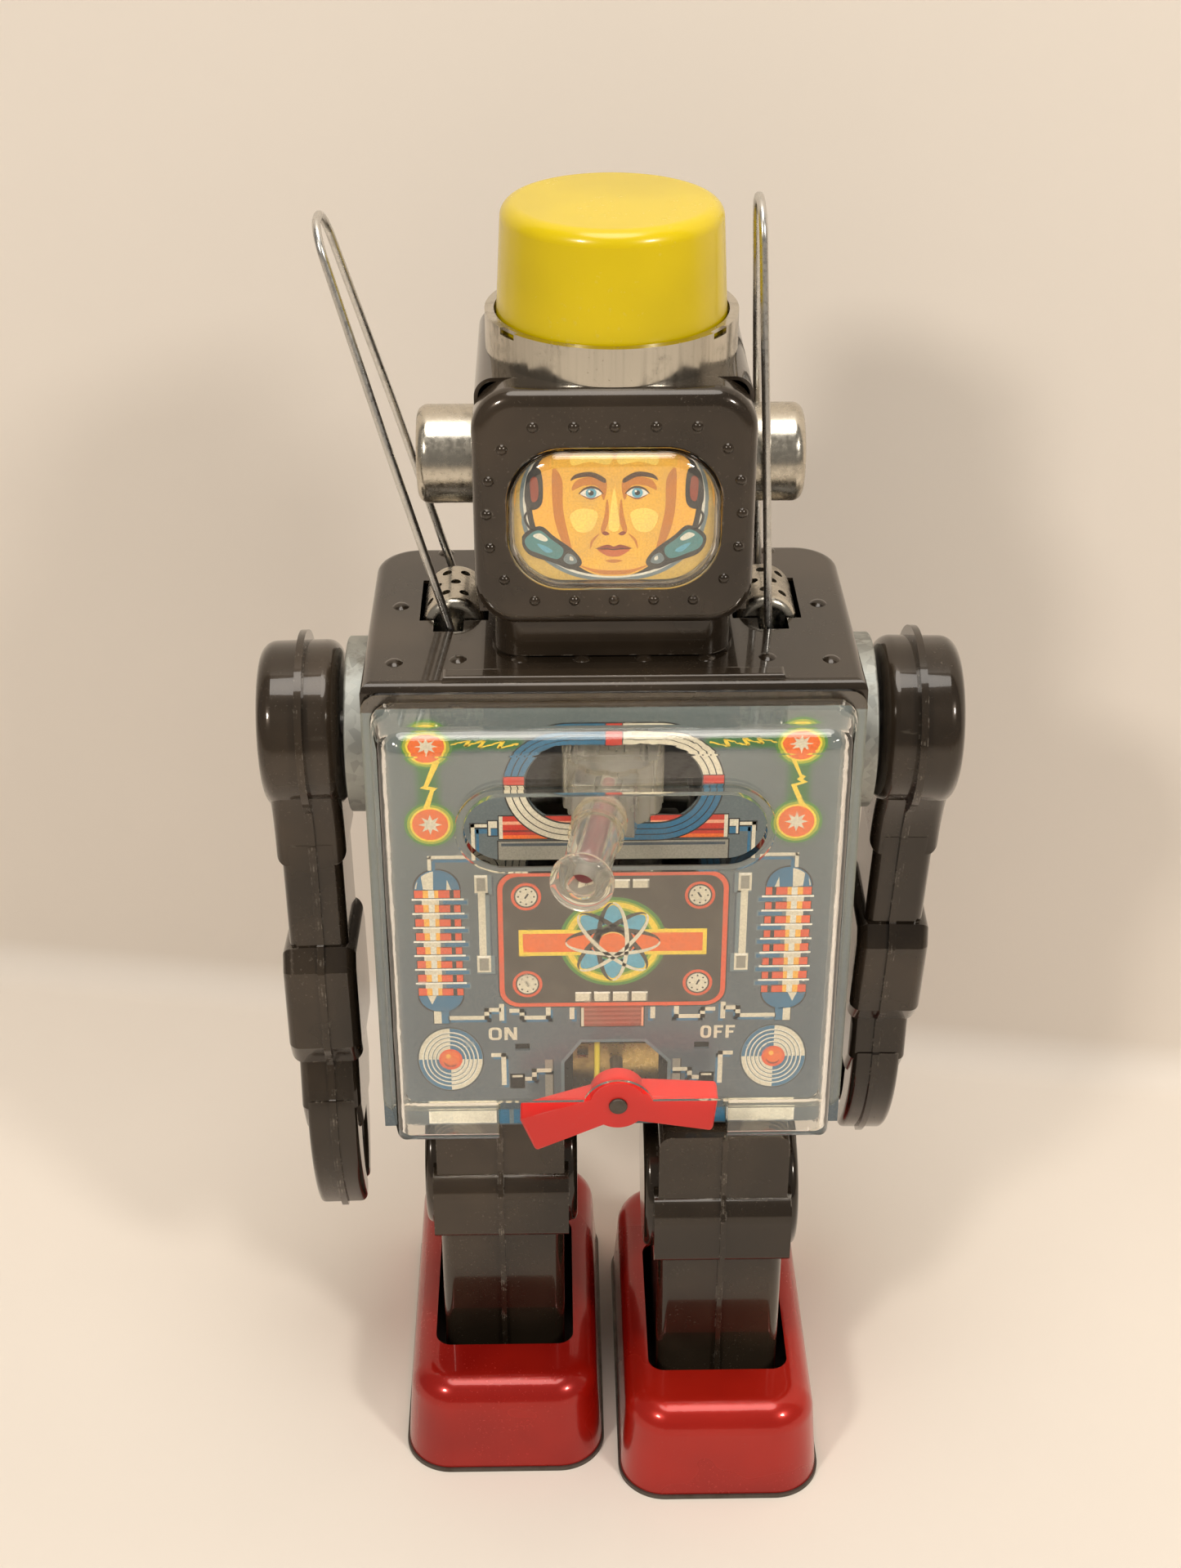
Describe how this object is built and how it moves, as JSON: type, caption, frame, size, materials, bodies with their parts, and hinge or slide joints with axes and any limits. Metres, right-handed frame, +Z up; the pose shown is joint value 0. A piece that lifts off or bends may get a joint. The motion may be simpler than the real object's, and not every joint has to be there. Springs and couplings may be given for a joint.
{
  "type": "toy robot",
  "caption": "Battery-operated tin robot that strides and swings its arms, with a lit head dome, tilting wire antennas, a sweeping clear gun behind a chest cover and an on-off lever.",
  "frame": {"origin": "on the ground under the middle of the whole robot's outline, as it stands in its rest pose", "axes": "+Z up, the robot faces -Y, +X towards the robot's own left side"},
  "size_m": [0.1576, 0.1123, 0.305],
  "materials": {
    "dark_lacquered_tin": "glossy brown-black lacquer over tinplate",
    "printed_chest_tin": "colour-printed tinplate under varnish",
    "clear_plastic": "clear styrene, slightly yellowed",
    "printed_card": "colour-printed card",
    "yellow_plastic": "glossy moulded plastic",
    "red_plastic": "glossy moulded plastic",
    "dark_red_plastic": "translucent moulded plastic",
    "nickel_plate": "worn nickel plate",
    "zinc_plate": "dull zinc plate",
    "red_lacquered_tin": "glossy deep red lacquer over tinplate",
    "dark_steel": "dark oiled steel",
    "plain_steel": "plain rolled steel",
    "brass": "rolled brass",
    "cell_case": "printed metal jacket",
    "lamp_glass": "clear bulb glass on a metal base",
    "yellow_insulation": "vinyl insulation"
  },
  "bodies": {
    "body": {"battery_cells": "cell_case", "battery_contacts": "brass", "battery_tray": "plain_steel", "body_wrap": "dark_lacquered_tin", "bottom_plate": "dark_lacquered_tin", "chest_cover": "clear_plastic", "chest_plate": "printed_chest_tin", "dome_lamp": "lamp_glass", "dome_lens": "yellow_plastic", "dome_ring": "nickel_plate", "face_card": "printed_card", "gearbox_pillars": "plain_steel", "gearbox_plates": "plain_steel", "gun_bracket": "plain_steel", "head_front": "dark_lacquered_tin", "head_shell": "dark_lacquered_tin", "lead_wire": "yellow_insulation", "left_ear": "nickel_plate", "motor": "plain_steel", "neck_collar": "dark_lacquered_tin", "right_ear": "nickel_plate", "switch_contact": "brass", "top_plate": "dark_lacquered_tin", "visor": "clear_plastic"},
    "crank": {"crank_axle": "plain_steel", "crank_gear": "brass", "crank_discs": "plain_steel"},
    "second_gear": {"second_gear": "brass"},
    "first_gear": {"first_gear": "brass"},
    "motor_rotor": {"motor_pinion": "brass"},
    "left_leg": {"left_leg_outer": "dark_lacquered_tin", "left_leg_inner": "dark_lacquered_tin", "left_leg_bracket": "plain_steel", "left_shoe": "red_lacquered_tin", "left_sole": "dark_steel"},
    "left_roller": {"left_foot_roller": "dark_steel"},
    "left_arm": {"left_arm_outer": "dark_lacquered_tin", "left_arm_inner": "dark_lacquered_tin", "left_arm_shaft": "plain_steel", "left_arm_washer": "zinc_plate"},
    "left_antenna": {"left_antenna_wire": "nickel_plate", "left_antenna_drum": "nickel_plate"},
    "right_leg": {"right_leg_outer": "dark_lacquered_tin", "right_leg_inner": "dark_lacquered_tin", "right_leg_bracket": "plain_steel", "right_shoe": "red_lacquered_tin", "right_sole": "dark_steel"},
    "right_roller": {"right_foot_roller": "dark_steel"},
    "right_arm": {"right_arm_outer": "dark_lacquered_tin", "right_arm_inner": "dark_lacquered_tin", "right_arm_shaft": "plain_steel", "right_arm_washer": "zinc_plate"},
    "right_antenna": {"right_antenna_wire": "nickel_plate", "right_antenna_drum": "nickel_plate"},
    "gun": {"gun_housing": "clear_plastic", "gun_barrel": "clear_plastic", "gun_core": "dark_red_plastic"},
    "switch": {"switch_lever": "red_plastic", "lever_shaft": "nickel_plate"},
    "door": {"battery_door": "dark_lacquered_tin"}
  },
  "joints": [
    {"name": "leg_stride", "type": "slide", "parent": "body", "child": "left_leg", "axis": [0, 1, 0], "range_m": [-0.0032, 0.0128]},
    {"name": "right_leg_stride", "type": "slide", "parent": "body", "child": "right_leg", "axis": [0, 1, 0], "range_m": [-0.0128, 0.0032]},
    {"name": "left_arm_swing", "type": "hinge", "parent": "body", "child": "left_arm", "pos_m": [0.066, 0.01626, 0.1851], "axis": [1, 0, 0], "range_deg": [-17.08, 4.28]},
    {"name": "right_arm_swing", "type": "hinge", "parent": "body", "child": "right_arm", "pos_m": [-0.066, 0.01626, 0.1851], "axis": [1, 0, 0], "range_deg": [-4.28, 17.08]},
    {"name": "crank_turn", "type": "hinge", "parent": "body", "child": "crank", "pos_m": [0, 0.00126, 0.118], "axis": [1, 0, 0], "continuous": true},
    {"name": "second_gear_turn", "type": "hinge", "parent": "body", "child": "second_gear", "pos_m": [0, -0.00478, 0.13182], "axis": [1, 0, 0], "continuous": true},
    {"name": "first_gear_turn", "type": "hinge", "parent": "body", "child": "first_gear", "pos_m": [0, -0.00175, 0.14557], "axis": [1, 0, 0], "continuous": true},
    {"name": "motor_turn", "type": "hinge", "parent": "body", "child": "motor_rotor", "pos_m": [0, -0.00175, 0.15965], "axis": [1, 0, 0], "continuous": true},
    {"name": "left_roller_turn", "type": "hinge", "parent": "left_leg", "child": "left_roller", "pos_m": [0.0266, 0.03146, 0.0057], "axis": [1, 0, 0], "continuous": true},
    {"name": "right_roller_turn", "type": "hinge", "parent": "right_leg", "child": "right_roller", "pos_m": [-0.0266, 0.04106, 0.0057], "axis": [1, 0, 0], "continuous": true},
    {"name": "left_antenna_tilt", "type": "hinge", "parent": "body", "child": "left_antenna", "pos_m": [0.0345, 0.02226, 0.2109], "axis": [0, 1, 0], "range_deg": [0, 32]},
    {"name": "right_antenna_tilt", "type": "hinge", "parent": "body", "child": "right_antenna", "pos_m": [-0.0345, 0.02226, 0.2109], "axis": [0, 1, 0], "range_deg": [-14, 18.5]},
    {"name": "gun_sweep", "type": "hinge", "parent": "body", "child": "gun", "pos_m": [0, -0.01214, 0.187], "axis": [0, 0, 1], "range_deg": [-25, 45]},
    {"name": "switch_turn", "type": "hinge", "parent": "body", "child": "switch", "pos_m": [0.0011, -0.02864, 0.111], "axis": [0, 1, 0], "range_deg": [-4, 19]},
    {"name": "door_swing", "type": "hinge", "parent": "body", "child": "door", "pos_m": [0, 0.04906, 0.103], "axis": [-1, 0, 0], "range_deg": [0, 95]}
  ],
  "couplings": [
    {"joint": "right_leg_stride", "follows": "leg_stride", "ratio": -1},
    {"joint": "left_arm_swing", "follows": "leg_stride", "rad_per_m": -23.271},
    {"joint": "right_arm_swing", "follows": "leg_stride", "rad_per_m": 23.271},
    {"joint": "crank_turn", "follows": "first_gear_turn", "ratio": 0.068182},
    {"joint": "second_gear_turn", "follows": "first_gear_turn", "ratio": -0.27273},
    {"joint": "motor_turn", "follows": "first_gear_turn", "ratio": -3.6667}
  ]
}
